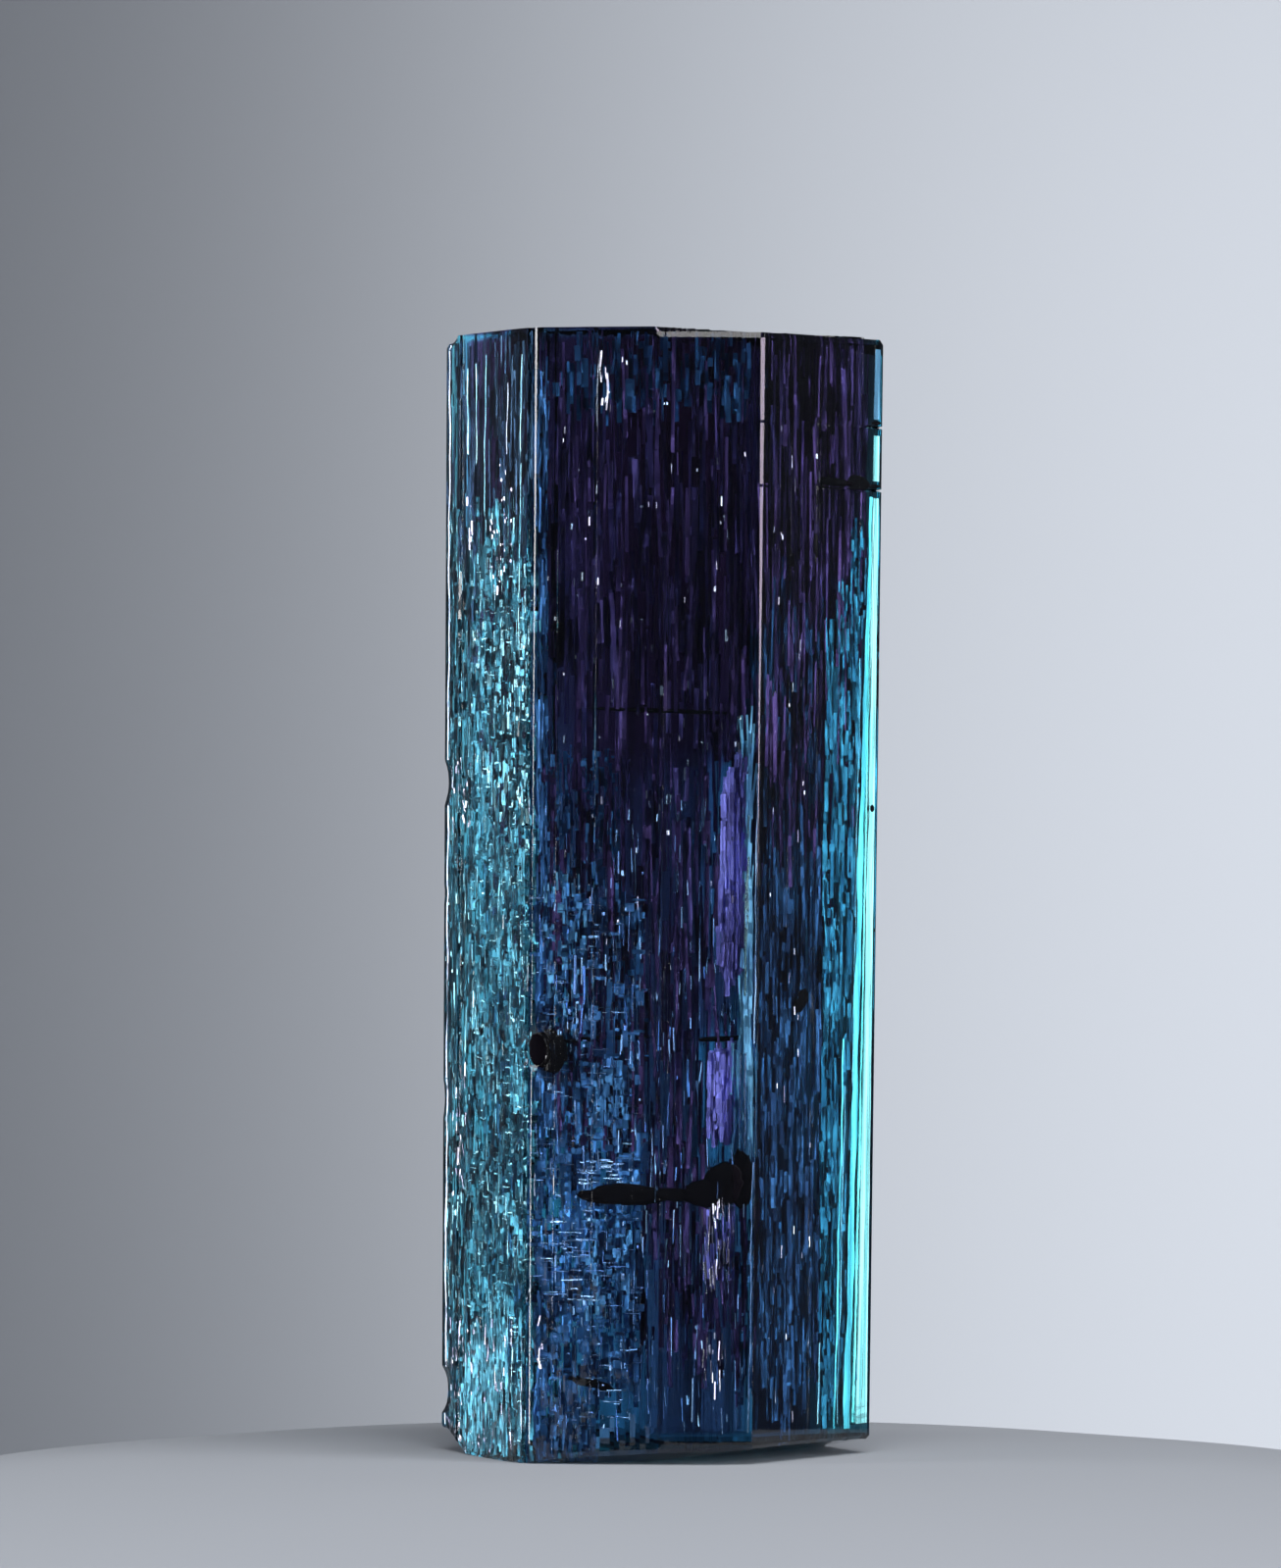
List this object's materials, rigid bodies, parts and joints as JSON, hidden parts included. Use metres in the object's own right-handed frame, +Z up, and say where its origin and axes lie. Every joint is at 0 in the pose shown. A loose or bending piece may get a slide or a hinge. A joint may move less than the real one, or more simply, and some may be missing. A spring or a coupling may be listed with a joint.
{
  "type": "tourmaline crystal",
  "caption": "Loose blue and violet tourmaline crystal: a striated, see-through prism with a flat top, chipped edges and a broken lower end, standing upright as a specimen.",
  "frame": {"origin": "centre of the footprint, on the surface that the crystal stands on", "axes": "+Z up along the crystal's c axis, -Y towards the viewer, +X to the viewer's right"},
  "size_m": [0.0094, 0.0086, 0.024],
  "materials": {
    "tourmaline": "polished by growth, striated along its length, teal rim over a violet heart"
  },
  "bodies": {
    "root": {"crystal": "tourmaline"}
  },
  "joints": []
}
